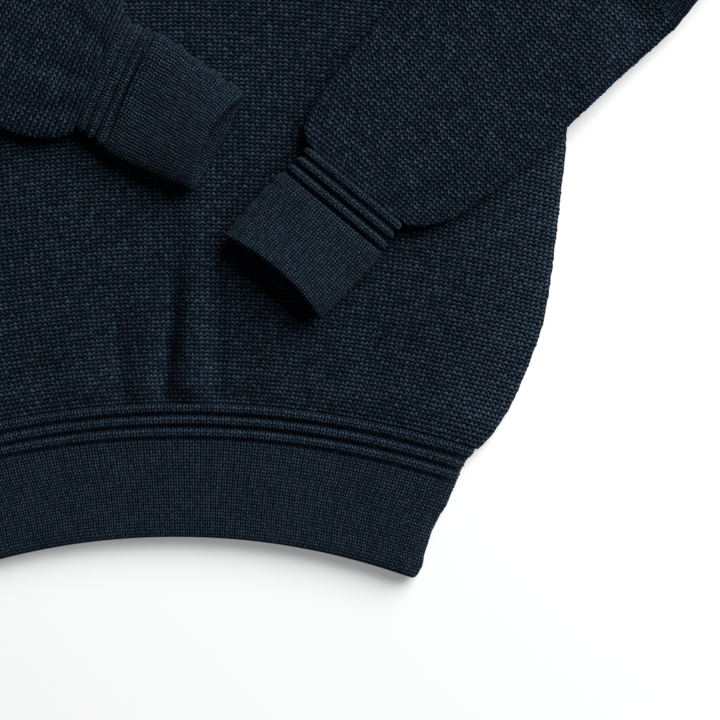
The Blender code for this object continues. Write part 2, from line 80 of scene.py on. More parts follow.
# %% Soft curves
def soft_step(t):
    """0 below t = 0, 1 above t = 1."""
    t = np.clip(t, 0.0, 1.0)
    return t * t * (3 - 2 * t)


def hump(distance, width):
    return np.exp(-0.5 * (distance / width) ** 2)


def round_edge(distance, reach):
    """0 at an edge and 1 from reach inwards."""
    t = np.clip(distance / reach, 0.0, 1.0)
    return np.sqrt(1 - (1 - t) ** 2)


def blend(a, b, t):
    return a * (1 - t) + b * t


def through(table, x, column=1):
    """Value of a column at x on a smooth line through the table's rows, with no overshoot."""
    table = np.asarray(table, float)
    xs, ys = table[:, 0], table[:, column]
    steps = np.diff(ys) / np.diff(xs)
    slopes = np.zeros(len(xs))
    slopes[0], slopes[-1] = steps[0], steps[-1]
    both = steps[:-1] + steps[1:]
    same_way = steps[:-1] * steps[1:] > 0
    slopes[1:-1] = np.where(same_way, 2 * steps[:-1] * steps[1:] / np.where(same_way, both, 1), 0)
    x = np.asarray(x, float)
    i = np.clip(np.searchsorted(xs, x) - 1, 0, len(xs) - 2)
    span = xs[i + 1] - xs[i]
    t = np.clip((x - xs[i]) / span, 0.0, 1.0)
    return (ys[i] * (1 + 2 * t) * (1 - t) ** 2 + ys[i + 1] * t * t * (3 - 2 * t)
            + span * slopes[i] * t * (1 - t) ** 2 + span * slopes[i + 1] * t * t * (t - 1))


# %% [markdown]
# ## Formulas as wires
#
# A stitch pattern is a formula of two numbers: how many wales across and how many courses up.
# In a material each sum is a node, and a formula is dozens of them. A small class lets the
# formula be written as it is read, and makes the nodes.

# %% A wire that makes the nodes of a formula
class Wire:
    """A number in a material's nodes. Sums with wires make the nodes."""

    def __init__(self, tree, socket):
        self.tree, self.socket = tree, socket

    def node(self, operation, *others):
        made = self.tree.nodes.new("ShaderNodeMath")
        made.operation = operation
        for port, value in zip(made.inputs, (self,) + others):
            if isinstance(value, Wire):
                self.tree.links.new(value.socket, port)
            else:
                port.default_value = value
        return Wire(self.tree, made.outputs[0])

    def __add__(self, other):
        return self.node("ADD", other)

    def __sub__(self, other):
        return self.node("SUBTRACT", other)

    def __mul__(self, other):
        return self.node("MULTIPLY", other)

    def __pow__(self, other):
        return self.node("POWER", other)

    def wave(self):
        """Sine of a number of whole turns."""
        return (self * (2 * math.pi)).node("SINE")

    def part(self):
        return self.node("FRACT")

    def whole(self):
        return self.node("FLOOR")

    def size(self):
        return self.node("ABSOLUTE")

    def least(self, other):
        return self.node("MINIMUM", other)

    def most(self, other):
        return self.node("MAXIMUM", other)

    def soft(self, low, high):
        """Soft step from 0 at low to 1 at high."""
        made = self.tree.nodes.new("ShaderNodeMapRange")
        made.interpolation_type = "SMOOTHSTEP"
        self.tree.links.new(self.socket, made.inputs["Value"])
        made.inputs["From Min"].default_value = low
        made.inputs["From Max"].default_value = high
        return Wire(self.tree, made.outputs["Result"])


# %% [markdown]
# ## Noise and mixed tones
#
# Nothing knitted is even. Two kinds of noise are needed over the stitches: a number drawn anew
# for each stitch, and a smooth cloud. Both are worked out from the count of wales and courses,
# so they stay with the cloth. Tones are mixed by a number from 0 to 1.

# %% Noise and mixed tones
def scattered(tree, along, across, seed):
    """A random number from 0 to 1 for each place, the same each time."""
    place = tree.nodes.new("ShaderNodeCombineXYZ")
    tree.links.new(along.socket, place.inputs[0])
    tree.links.new(across.socket, place.inputs[1])
    place.inputs[2].default_value = seed
    noise = tree.nodes.new("ShaderNodeTexWhiteNoise")
    noise.noise_dimensions = "3D"
    tree.links.new(place.outputs[0], noise.inputs["Vector"])
    return Wire(tree, noise.outputs["Value"])


def cloudy(tree, along, across, scale, detail=2.0):
    """Smooth noise about 0, over the stitches."""
    place = tree.nodes.new("ShaderNodeCombineXYZ")
    tree.links.new(along.socket, place.inputs[0])
    tree.links.new(across.socket, place.inputs[1])
    noise = tree.nodes.new("ShaderNodeTexNoise")
    noise.inputs["Scale"].default_value = scale
    noise.inputs["Detail"].default_value = detail
    tree.links.new(place.outputs[0], noise.inputs["Vector"])
    return Wire(tree, noise.outputs["Fac"]) - 0.5


def tone_mix(tree, low, high, factor):
    """A tone that turns from low to high. Each is a colour or another mix."""
    made = tree.nodes.new("ShaderNodeMix")
    made.data_type = "RGBA"
    made.clamp_factor = True
    ports = [port for port in made.inputs if port.type == "RGBA"]
    for port, value in zip(ports, (low, high)):
        if isinstance(value, tuple):
            port.default_value = value
        else:
            tree.links.new(value, port)
    tree.links.new(factor.socket, made.inputs[0])
    return [port for port in made.outputs if port.type == "RGBA"][0]


# %% [markdown]
# ## The yarn
#
# The yarn is a thick worsted wool in a navy that is nearly black. Up close the light catches a
# grey blue on each strand's crown and the holes between strands fall into black shade. Both
# are painted into the colour: a painted highlight on the crowns, painted shade in the holes.
# No two stitches are quite alike in tone, and loose fibres roughen it. It hardly shines. So a
# knit finish needs two things from its stitch pattern: a height, for the bump and for the
# painted shade and highlight, and a number for each stitch, to vary its tone.

# %% The yarn's tones and a knit finish
# painted shade in the holes, the yarn's own navy, then a painted highlight on the crowns
PAINTED_HOLE_SHADE = (0.0003, 0.0008, 0.0018, 1.0)
YARN_TONE = (0.0050, 0.0150, 0.0290, 1.0)
PAINTED_CROWN_HIGHLIGHT = (0.052, 0.081, 0.111, 1.0)
SHADE_TO_YARN = (0.25, 0.70)  # the shades between which one tone turns into the next
YARN_TO_HIGHLIGHT = (0.50, 1.25)
STITCH_VARIETY, PATCH_VARIETY, PATCH_SCALE = 0.30, 0.14, 0.07
FIBRES_TO_WALE, FIBRES_TO_COURSE, FIBRE_DETAIL = 9.0, 7.0, 3.0
BUMP_DEPTH, FIBRE_BUMP = 0.0010, 0.30
ROUGHNESS, SHINE = 0.9, 0.05
SHEEN, SHEEN_ROUGHNESS, SHEEN_TINT = 0.03, 0.5, (0.45, 0.68, 0.95, 1.0)


def knit_finish(name, pattern, fullness):
    """A wool finish. pattern(tree, wale, course) gives its height and a stitch number.

    A higher fullness shows more of each strand's crown in its painted highlight.
    """
    material = bpy.data.materials.new(name)
    material.use_nodes = True
    tree = material.node_tree
    shader = tree.nodes["Principled BSDF"]
    stitches = tree.nodes.new("ShaderNodeUVMap")
    stitches.uv_map = "stitches"
    split = tree.nodes.new("ShaderNodeSeparateXYZ")
    tree.links.new(stitches.outputs["UV"], split.inputs[0])
    wale, course = (Wire(tree, split.outputs[k]) for k in (0, 1))
    height, stitch = pattern(tree, wale, course)
    fibre = cloudy(tree, wale * FIBRES_TO_WALE, course * FIBRES_TO_COURSE, 1.0, FIBRE_DETAIL)
    # painted light: the knit is painted paler towards the body's sides, which raises the crowns'
    # painted highlight
    painted_side_light = tree.nodes.new("ShaderNodeAttribute")
    painted_side_light.attribute_name = "painted_light"
    painted_light = Wire(tree, painted_side_light.outputs["Fac"])
    patch = cloudy(tree, wale, course, PATCH_SCALE)
    crown = stitch * STITCH_VARIETY + fullness + painted_light + patch * PATCH_VARIETY
    shade = height * crown + fibre
    # painted shade: the low places between strands are painted dark
    painted_hole_shade = tone_mix(tree, PAINTED_HOLE_SHADE, YARN_TONE, shade.soft(*SHADE_TO_YARN))
    # painted highlight: the high crowns of the strands are painted pale
    tone = tone_mix(tree, painted_hole_shade, PAINTED_CROWN_HIGHLIGHT, shade.soft(*YARN_TO_HIGHLIGHT))
    tree.links.new(tone, shader.inputs["Base Color"])
    bump = tree.nodes.new("ShaderNodeBump")
    bump.inputs["Distance"].default_value = BUMP_DEPTH
    bump.inputs["Strength"].default_value = 1.0
    tree.links.new((height + fibre * FIBRE_BUMP).socket, bump.inputs["Height"])
    tree.links.new(bump.outputs["Normal"], shader.inputs["Normal"])
    shader.inputs["Roughness"].default_value = ROUGHNESS
    shader.inputs["Specular IOR Level"].default_value = SHINE
    shader.inputs["Sheen Weight"].default_value = SHEEN
    shader.inputs["Sheen Roughness"].default_value = SHEEN_ROUGHNESS
    shader.inputs["Sheen Tint"].default_value = SHEEN_TINT
    return material


# %% [markdown]
# ## Two stitch patterns
#
# The body and sleeves show the bumpy side of plain knitting: every course is a wavy row of
# short fat bars, one to a wale, with thin lines of painted shade between the rows. The bands
# show the smooth side: columns of two slanting legs that meet at the top of each stitch.
# Hand-fed yarn is never even, so both patterns drift a little out of line.

# %% Rows of bars, and plaited columns
OTHER_CLOUD = 40.0  # wales off, where the cloud is a different one
STRAND_ROUND = 0.8
PURL_DRIFT, PURL_SLIP = (0.5, 1.3), (0.9, 0.9)  # the cloud's scale, wales or courses moved
PURL_WAVE, BAR_FALL, LOOP_FALL, PURL_SEED = 0.20, -5.6, -1.9, 1.7
PLAIT_DRIFT, PLAIT_SLIP = (0.7, 0.35), (0.8, 0.55)
LEG_SLANT, OUTSIDE_FALL, INSIDE_FALL = 1.45, -1.15, -0.80
STITCH_FALL, STITCH_ROUND, PLAIT_SEED = -3.6, 0.9, 4.1


def purl_rows(tree, wale, course):
    """Wavy rows of bars, highest along each bar's middle."""
    drift = cloudy(tree, wale, course, PURL_DRIFT[0])
    slip = cloudy(tree, wale + OTHER_CLOUD, course, PURL_SLIP[0])
    wale = wale + drift * PURL_DRIFT[1]
    course = course + slip * PURL_SLIP[1]
    line = course + (wale + 0.25).wave() * PURL_WAVE
    stitch = scattered(tree, wale.whole(), line.whole(), PURL_SEED)
    across = line.part() - 0.5
    along = wale.part() - 0.5
    bar = ((across * across) * BAR_FALL + 1.0).most(0.0)
    loop = (along * along) * LOOP_FALL + 1.0
    return bar ** STRAND_ROUND * loop, stitch


def plaited_columns(tree, wale, course):
    """Columns of two slanting legs, a quarter and three quarters of a wale across."""
    slip = cloudy(tree, wale, course, PLAIT_SLIP[0])
    course = course + slip * PLAIT_SLIP[1]
    wale = wale + cloudy(tree, wale + OTHER_CLOUD, course, PLAIT_DRIFT[0]) * PLAIT_DRIFT[1]
    middle = (wale.part() - 0.5).size()
    line = course + middle * LEG_SLANT
    stitch = scattered(tree, (wale * 2.0).whole(), line.whole(), PLAIT_SEED)
    leg = middle * 4.0 - 1.0
    outside, inside = leg.most(0.0), leg.least(0.0)
    leg = (outside * outside) * OUTSIDE_FALL + (inside * inside) * INSIDE_FALL + 1.0
    leg = leg.most(0.0)
    along = line.part() - 0.5
    along = (along * along) * STITCH_FALL + 1.0
    return leg ** STRAND_ROUND * along.most(0.0) ** STITCH_ROUND, stitch


BODY_KNIT = knit_finish("body_knit", purl_rows, 0.69)
BAND_KNIT = knit_finish("band_knit", plaited_columns, 0.77)
print("finishes made:", BODY_KNIT.name, BAND_KNIT.name)

# %% [markdown]
# ## A wall of knitting
#
# A piece of knitting is a sheet with two faces. Each piece here is worked out as a grid of
# points for its outer face and the same grid for its inner face, and the edges are closed
# between them. The grid carries the count of wales and courses in a UV map, so stitches run
# with the cloth wherever it turns.

# %% A wall between two grids
def between(low, high):
    """Quads between two rows of places."""
    corners = (low[..., :-1], low[..., 1:], high[..., 1:], high[..., :-1])
    return np.stack(corners, -1).reshape(-1, 4)


def knit_wall(name, outer, inner, wales, courses, cloth, wales_round=None, painted_light=None):
    """A closed wall. wales_round makes it a tube, and is the count of wales all round.

    The last argument is painted light: how much paler each place of the grid is painted.
    """
    rows, columns = outer.shape[:2]
    number = np.arange(rows * columns).reshape(rows, columns)
    if wales_round is not None:
        number = np.hstack((number, number[:, :1]))
        wales = np.hstack((wales, wales[:, :1] + wales_round))
        courses = np.hstack((courses, courses[:, :1]))
    # A tube's last column is its first again, with its own stitch counts.
    place = np.arange(number.size).reshape(number.shape)
    under = place + number.size
    quads = [between(place[:-1], place[1:]), between(under[1:], under[:-1]),
             between(under[0], place[0]), between(place[-1], under[-1])]
    if wales_round is None:
        quads.append(between(place[:, 0], under[:, 0]))
        quads.append(between(under[:, -1], place[:, -1]))
    quads = np.concatenate(quads)
    points = np.concatenate((outer.reshape(-1, 3), inner.reshape(-1, 3)))
    corners = number.ravel()[quads % number.size] + (quads >= number.size) * rows * columns
    a, b, c, d = (points[corners[:, k]] for k in range(4))
    volume = np.einsum("ij,ij->i", np.cross(c - a, d - b), (a + b + c + d) / 4).sum() / 6
    if volume < 0:
        corners, quads = corners[:, ::-1], quads[:, ::-1]
    mesh = bpy.data.meshes.new(name)
    mesh.from_pydata((points + STEP).tolist(), [], corners.tolist())
    stitches = np.stack((wales.ravel(), courses.ravel()), 1)[quads.ravel() % number.size]
    mesh.uv_layers.new(name="stitches").uv.foreach_set("vector", stitches.astype(np.float32).ravel())
    if painted_light is not None:
        both = np.concatenate((painted_light.ravel(), painted_light.ravel())).astype(np.float32)
        mesh.attributes.new("painted_light", "FLOAT", "POINT").data.foreach_set("value", both)
    mesh.shade_smooth()
    mesh.materials.append(cloth)
    piece = bpy.data.objects.new(name, mesh)
    bpy.context.scene.collection.objects.link(piece)
    print(name, "has", 2 * len(mesh.polygons), "triangles and a wall of",
          round(abs(volume) * 1e6), "cubic cm")
    return piece


# %% [markdown]
# ## Bumps along an edge, and unevenness
#
# Along a knitted edge each course ends in a small bump, which shows against the white table.
# And knitting is never quite flat: it lies in low swells a few centimetres across.

# %% Bumps and swells
EDGE_BUMP, BUMP_SHARES, BUMP_COUNT = 0.0007, (0.3, 1.5), 997
SWELL_X, SWELL_Y, SWELL_COUNT = (-0.30, 0.30), (0.08, 0.66), 70
SWELL_REACH, SWELL_HEIGHT = (0.014, 0.034), 0.0007
uneven = np.random.default_rng(11)
BUMP_SIZES = uneven.uniform(*BUMP_SHARES, BUMP_COUNT)
SWELLS = np.column_stack((  # x, y, reach, height
    uneven.uniform(*SWELL_X, SWELL_COUNT),
    uneven.uniform(*SWELL_Y, SWELL_COUNT),
    uneven.uniform(*SWELL_REACH, SWELL_COUNT),
    uneven.uniform(-SWELL_HEIGHT, SWELL_HEIGHT, SWELL_COUNT),
))
print(len(SWELLS), "swells, the highest", round(1000 * SWELLS[:, 3].max(), 2), "mm")


def edge_stitches(courses):
    """How far an edge stands out at a count of courses."""
    sizes = BUMP_SIZES[np.floor(courses).astype(int) % len(BUMP_SIZES)]
    return EDGE_BUMP * sizes * np.sin(math.pi * (courses % 1.0))


def swells(x, y):
    lift = np.zeros(np.broadcast(x, y).shape)
    for x0, y0, reach, height in SWELLS:
        lift = lift + height * hump(np.hypot(x - x0, y - y0), reach)
    return lift


# %% [markdown]
# ## The body's outline
#
# The body swells out over the narrow hem band, rises nearly straight to the armpits and
# narrows to the shoulders. Its lower seam is an arch, because the band is pulled taut and
# slightly curved.

# %% The body's outline
KNIT = 0.0045
BAND = 0.0060
SEAM_GAP = 0.0003
BODY_HEIGHT = 0.0125
EDGE_ROUND = 0.0125
SEAM_CENTRE_X, SEAM_PEAK_Y, SEAM_DROP, SEAM_HALF = -0.008, 0.1105, 0.0352, 0.212
ARMPIT = (0.285, 0.454)
SHOULDER = (0.259, 0.660)
NECK_POINT = (0.092, 0.692)
FRONT_NECK_DEPTH, BACK_NECK_DEPTH, NECK_CURVE = 0.035, 0.010, 2.5
SIDE_EDGE = (  # height, half width
    (0.075, 0.2120), (0.0825, 0.2195), (0.0975, 0.2305), (0.1125, 0.2390), (0.1425, 0.2518),
    (0.1725, 0.2618), (0.2025, 0.2668), (0.2475, 0.2725), (0.316, 0.2790), (0.454, 0.2850),
)


def half_width(y):
    y = np.asarray(y, float)
    share = np.clip((y - ARMPIT[1]) / (SHOULDER[1] - ARMPIT[1]), 0.0, 1.0)
    above = blend(ARMPIT[0], SHOULDER[0], share)
    return np.where(y <= ARMPIT[1], through(SIDE_EDGE, y), above)


def seam_y(x):
    share = (x - SEAM_CENTRE_X) / (SEAM_HALF - SEAM_CENTRE_X)
    return SEAM_PEAK_Y - SEAM_DROP * share * share


def neck_y(x, depth):
    share = np.minimum(np.abs(x) / NECK_POINT[0], 1.0)
    return NECK_POINT[1] - depth * (1 - share ** NECK_CURVE)


def top_y(x, depth):
    share = np.clip((np.abs(x) - NECK_POINT[0]) / (SHOULDER[0] - NECK_POINT[0]), 0.0, 1.0)
    return neck_y(x, depth) + (SHOULDER[1] - NECK_POINT[1]) * share


# %% [markdown]
# ## Folds where the front is gathered into the band
#
# The body has more cloth than the band, and it is gathered into it. From the seam a few soft
# folds rise and die away, two of them deep, in the left third of the picture. Each fold is a
# ridge or a trough along a slanting line with its own width and height, and just above the
# seam the cloth rolls over. Inside, a deep trough is followed only so far, to clear the back.

# %% The front's folds
FOLDS = (  # x at the seam, x at the top, y at the top, width, height
    (-0.205, -0.212, 0.165, 0.0110, -0.0018),
    (-0.160, -0.168, 0.190, 0.0100, 0.0022),
    (-0.118, -0.122, 0.170, 0.0090, -0.0020),
    (-0.086, -0.084, 0.190, 0.0120, 0.0020),
    (-0.0565, -0.0575, 0.195, 0.0060, -0.0038),
    (-0.0400, -0.0330, 0.205, 0.0090, 0.0030),
    (-0.0240, -0.0125, 0.225, 0.0042, -0.0068),
    (-0.0020, 0.0030, 0.262, 0.0090, 0.0066),
    (0.0150, 0.0200, 0.250, 0.0050, -0.0046),
    (0.0290, 0.0400, 0.240, 0.0120, -0.0026),
    (0.0560, 0.0600, 0.170, 0.0100, 0.0012),
    (0.082, 0.080, 0.165, 0.0130, -0.0012),
    (0.132, 0.136, 0.175, 0.0120, -0.0012),
)
DEEPEST_INSIDE = 0.0030
FOLD_TAIL, FOLD_FADE, FOLD_ROOT, FOLD_RISE = 1.23, 0.91, 0.35, 0.020
ROLL_HEIGHT, ROLL_MIDDLE, ROLL_WIDTH = 0.0022, 0.014, 0.009


def front_folds(x, y, above_seam):
    lift = ROLL_HEIGHT * hump(above_seam - ROLL_MIDDLE, ROLL_WIDTH) + swells(x, y)
    for x_low, x_high, y_high, width, height in FOLDS:
        run = (y - SEAM_PEAK_Y) / (y_high - SEAM_PEAK_Y)
        fade = soft_step((FOLD_TAIL - run) / FOLD_FADE)
        fade = fade * soft_step(FOLD_ROOT + above_seam / FOLD_RISE)
        lift = lift + height * fade * hump(x - (x_low + (x_high - x_low) * run), width)
    return lift


# %% [markdown]
# ## Front and back
#
# Both panels are one grid: rows follow the arch of the seam, because that is how the courses
# of the knitting lie, and columns spread from the band's width to the body's, because the
# count of wales stays the same. Towards the sides and shoulders the front rolls down and the
# back rolls up to meet it. Along the seam the inner face runs on under the band in a thin
# tongue, as the seam's allowance does, so that no light comes through the seam. Towards its
# sides the cloth is painted a little paler, a painted light for the light on its rounded rims.

# %% A panel of the body
BODY_WALE, BODY_COURSE, FULL_HALF = 0.0041, 0.0031, 0.279
BODY_WALES = 2 * FULL_HALF / BODY_WALE
BUMPS_FADE, CURL_BELOW, CURL_REACH = 0.04, 0.004, 0.030  # at the armpit, going down
TOP_CURL, INSIDE_EASE = 0.012, 0.006
TONGUE, TONGUE_WALL = 0.0022, 0.0004
# painted light: how much paler the body is painted at its sides, and from what share of the half
# width
SIDE_PAINTED_LIGHT, PAINTED_LIGHT_START = 0.17, 0.70


def edge_places(count):
    """Distances from an edge for the points that round it."""
    return EDGE_ROUND * (1 - np.cos(np.linspace(0, math.pi / 2, count, endpoint=False)))


def panel_columns(columns, edge_count):
    """Shares of the half width from side to side, and distances from the nearer side."""
    edge = edge_places(edge_count)
    column = np.concatenate((-np.ones(edge_count), columns, np.ones(edge_count)))
    from_side = np.concatenate((edge, np.full(len(columns), EDGE_ROUND), edge[::-1]))
    return column[None, :], from_side[None, :]


def body_panel(name, depth, side, columns, shares, edge_count):
    """A panel with its neckline's depth. side is 1 for the front and -1 for the back."""
    column, from_side = panel_columns(columns, edge_count)
    share = np.concatenate((shares, np.ones(edge_count)))[:, None]
    top_steps = edge_places(edge_count)[::-1]
    step = np.concatenate((np.full(len(shares), EDGE_ROUND), top_steps))[:, None]
    y_side = blend(seam_y(SEAM_HALF), SHOULDER[1] - EDGE_ROUND, share) + (EDGE_ROUND - step)
    width = half_width(y_side) - SEAM_GAP * (y_side > ARMPIT[1])
    below_armpit = ARMPIT[1] - y_side
    width = width + edge_stitches(y_side / BODY_COURSE) * soft_step(below_armpit / BUMPS_FADE)
    side_curl = soft_step((ARMPIT[1] - CURL_BELOW - y_side) / CURL_REACH)

    def up(x):
        low = seam_y(x / width * SEAM_HALF) + SEAM_GAP / 2
        high = top_y(x / width * SHOULDER[0], depth) - SEAM_GAP / 2
        return blend(low, high - EDGE_ROUND, share) + (EDGE_ROUND - step), low, high

    x = column * (width - from_side)
    y, low, high = up(x)
    top_curl = soft_step((np.abs(x / width) * SHOULDER[0] - NECK_POINT[0]) / TOP_CURL)
    from_top = np.minimum(high - y, EDGE_ROUND)
    fall = 1 - side_curl * (1 - round_edge(from_side, EDGE_ROUND))
    fall = fall * (1 - top_curl * (1 - round_edge(from_top, EDGE_ROUND)))
    lift = front_folds(x, y, y - low) * fall if side > 0 else np.zeros_like(x)
    lift_in = np.maximum(lift, -DEEPEST_INSIDE) * soft_step((y - low) / INSIDE_EASE)
    x_in = x - np.sign(x) * KNIT * side_curl * (1 - from_side / EDGE_ROUND)
    y_in = up(x_in)[0] - KNIT * top_curl * (1 - from_top / EDGE_ROUND)
    middle = BODY_HEIGHT / 2 + side * SEAM_GAP / 2
    half = BODY_HEIGHT / 2 - SEAM_GAP / 2
    outer = np.stack((x, y, middle + side * half * fall + lift), -1)
    inner = np.stack((x_in, y_in, middle + side * (half - KNIT) * fall + lift_in), -1)
    wales = x / width * BODY_WALES / 2
    courses = (y - low) / BODY_COURSE
    tip, root = (inner[:1] - (0.0, reach, 0.0) for reach in (TONGUE, TONGUE / 2))
    cover = (0.0, 0.0, side * TONGUE_WALL)
    outer = np.concatenate((tip + cover, inner[:1] + cover, outer))
    inner = np.concatenate((tip, root, inner))
    wales, courses = (np.concatenate((grid[:1], grid[:1], grid)) for grid in (wales, courses))
    # painted light: the knit is painted paler towards both sides, standing in for light on the
    # rounded rims
    to_side = np.abs(wales) * 2 / BODY_WALES
    painted_side_light = SIDE_PAINTED_LIGHT * soft_step((to_side - PAINTED_LIGHT_START) / (1 - PAINTED_LIGHT_START))
    return knit_wall(name, outer, inner, wales, courses, BODY_KNIT, painted_light=painted_side_light)


# %% [markdown]
# ## Where the panels need many points
#
# A fold 4 mm wide needs points every few millimetres, and a flat stretch does not. So the
# front's columns lie close where its folds are, and its rows lie close in its lower half. The
# back lies on the table and is plain.

# %% Front and back
FOLDED = (-0.28, 0.24)  # shares of the half width
FOLDED_UP_TO = 0.50  # share of the height
front_columns = np.concatenate((
    np.linspace(-1, FOLDED[0], 30)[:-1],
    np.linspace(*FOLDED, 66),
    np.linspace(FOLDED[1], 1, 34)[1:],
))
front_rows = np.concatenate((
    np.linspace(0, FOLDED_UP_TO, 280)[:-1],
    np.linspace(FOLDED_UP_TO, 1, 42),
))
back_columns, back_rows = np.linspace(-1, 1, 64), np.linspace(0, 1, 180)
front = body_panel("front_knit", FRONT_NECK_DEPTH, 1, front_columns, front_rows, 8)
back = body_panel("back_knit", BACK_NECK_DEPTH, -1, back_columns, back_rows, 6)

# %% [markdown]
# ## Ridges and grooves
#
# The hem and the cuffs begin alike, with three raised ridges and deep grooves between them.
# A ridge is a few long courses pushed up into a roll, so it is rounder than a sine wave, and
# each groove has its own depth. Below the ridges the band is plain, down to a folded edge.

# %% Ridges and grooves
RIDGES, RIDGE_COURSES, RIDGE_POWER = 3, 3, 0.72
HEM_RIDGE_PITCH, HEM_RIDGE_HEIGHT = 0.0090, 0.0024
CUFF_RIDGE_PITCH, CUFF_RIDGE_HEIGHT = 0.0088, 0.0020
HEM_GROOVES = (0.0013, 0.0028, 0.0026, 0.0019)  # depths, from the seam down
CUFF_GROOVES = (0.0013, 0.0017, 0.0030, 0.0012)
FOLD_EDGE = 0.0022
BAND_WALE, BAND_COURSE = 0.0042, 0.0024
RIDGE_ROWS, AFTER_ROWS, AFTER_REACH, PLAIN_ROWS, FOLD_ROWS = 61, 14, 0.007, 30, 7


def ridge_lift(distance, pitch, height, grooves, ease=1.0):
    """Rounded ridges side by side with grooves between them."""
    inside = (distance >= 0) & (distance <= RIDGES * pitch)
    swell = np.abs(np.sin(math.pi * distance / pitch)) ** RIDGE_POWER
    nearest = np.clip(np.round(distance / pitch).astype(int), 0, RIDGES)
    depth = np.asarray(grooves)[nearest] * ease
    return np.where(inside, (height + depth) * swell - depth, 0.0)


def ridge_courses(distance, pitch):
    """Courses down a band: a few long ones to a ridge, then plain ones."""
    ridges = np.minimum(distance, RIDGES * pitch) / pitch * RIDGE_COURSES
    return ridges + np.maximum(distance - RIDGES * pitch, 0.0) / BAND_COURSE


def band_rows(ridge_end, length):
    """Rows down a band: close on the ridges and round the folded edge."""
    ridges = np.linspace(0, ridge_end, RIDGE_ROWS)
    after = ridge_end + np.linspace(0, AFTER_REACH, AFTER_ROWS + 1)[1:]
    plain = np.linspace(after[-1], length - 2 * FOLD_EDGE, PLAIN_ROWS + 1)[1:]
    turn = np.linspace(0, math.pi / 2, FOLD_ROWS + 1)[1:]
    return np.concatenate((ridges, after, plain, length - 2 * FOLD_EDGE * (1 - np.sin(turn))))


# %% [markdown]
# ## The hem band
#
# The band is knitted double, so it is thicker than the body and stiff. Its front and back
# halves meet at the sides, and each is a panel that narrows on its way down. The grooves grow
# shallower to the right, as they do in the picture, and the lower corners are rounded.

# %% The hem band
BAND_HEIGHT = 0.0150
HEM_CENTRE_X, HEM_PEAK_Y, HEM_DROP, HEM_POWER = -0.015, 0.0098, 0.0310, 2.05
HEM_EDGE = (  # share of the way down, half width
    (0.00, 0.2100), (0.035, 0.2085), (0.09, 0.2035), (0.16, 0.1998), (0.25, 0.1961),
    (0.42, 0.1890), (0.60, 0.1792), (0.75, 0.1740), (0.88, 0.1706), (1.00, 0.1690),
)
HEM_TOP_HALF, HEM_LOW_HALF = HEM_EDGE[0][1], HEM_EDGE[-1][1]
HEM_LENGTH = SEAM_PEAK_Y - HEM_PEAK_Y - SEAM_GAP
GROOVE_EASE, EASE_START, EASE_REACH = 0.50, 0.06, 0.12
CORNER, HEM_SIDE_POINTS = 0.0120, 8


def hem_y(x):
    share = np.abs(x - HEM_CENTRE_X) / (HEM_LOW_HALF - HEM_CENTRE_X)
    return HEM_PEAK_Y - HEM_DROP * share ** HEM_POWER


def hem_panel(name, side, across_count, distances):
    """Half of the hem. side is 1 for the front and -1 for the back."""
    column, from_side = panel_columns(np.linspace(-1, 1, across_count), HEM_SIDE_POINTS)
    distance = distances[:, None]
    share = distance / HEM_LENGTH
    to_fold = HEM_LENGTH - distance
    rounding = FOLD_EDGE * (1 - round_edge(to_fold, FOLD_EDGE * 2))
    width = through(HEM_EDGE, share) - CORNER / 2 * (1 - round_edge(to_fold, CORNER))
    width = width + edge_stitches(distance / BAND_COURSE)
    fall = round_edge(from_side, EDGE_ROUND)

    def down(x):
        high = seam_y(x / width * HEM_TOP_HALF) - SEAM_GAP / 2
        return blend(high, hem_y(x / width * HEM_LOW_HALF), share)

    x = column * (width - from_side)
    ease = 1 - GROOVE_EASE * soft_step((x - EASE_START) / EASE_REACH)
    ridge = ridge_lift(distance, HEM_RIDGE_PITCH, HEM_RIDGE_HEIGHT, HEM_GROOVES, ease)
    x_in = x - np.sign(x) * BAND * (1 - from_side / EDGE_ROUND)
    middle = BAND_HEIGHT / 2 + side * SEAM_GAP / 2
    half = BAND_HEIGHT / 2 - SEAM_GAP / 2
    lift = ridge if side > 0 else 0.0
    outer = np.stack((x, down(x), middle + side * (half - rounding + lift) * fall), -1)
    inner = np.stack((x_in, down(x_in), middle + side * (half - BAND + rounding) * fall), -1)
    wales = x / width * (HEM_TOP_HALF + HEM_LOW_HALF) / 2 / BAND_WALE
    courses = -ridge_courses(distance + 0 * x, HEM_RIDGE_PITCH)
    return knit_wall(name, outer, inner, wales, courses, BAND_KNIT)


hem_rows = band_rows(RIDGES * HEM_RIDGE_PITCH, HEM_LENGTH)
hem_front = hem_panel("hem_front_knit", 1, 240, hem_rows)
hem_back = hem_panel("hem_back_knit", -1, 140, hem_rows[::2])

# %% [markdown]
# ## Sleeves folded back on themselves
#
# Each sleeve leaves the armhole flat on the table, turns right over at the elbow, and comes
# back across the body. It is a flattened tube all the way. Its rings are set square to it and
# follow the fold, and the forearm sinks a little where neither the body nor the upper arm is
# under it.

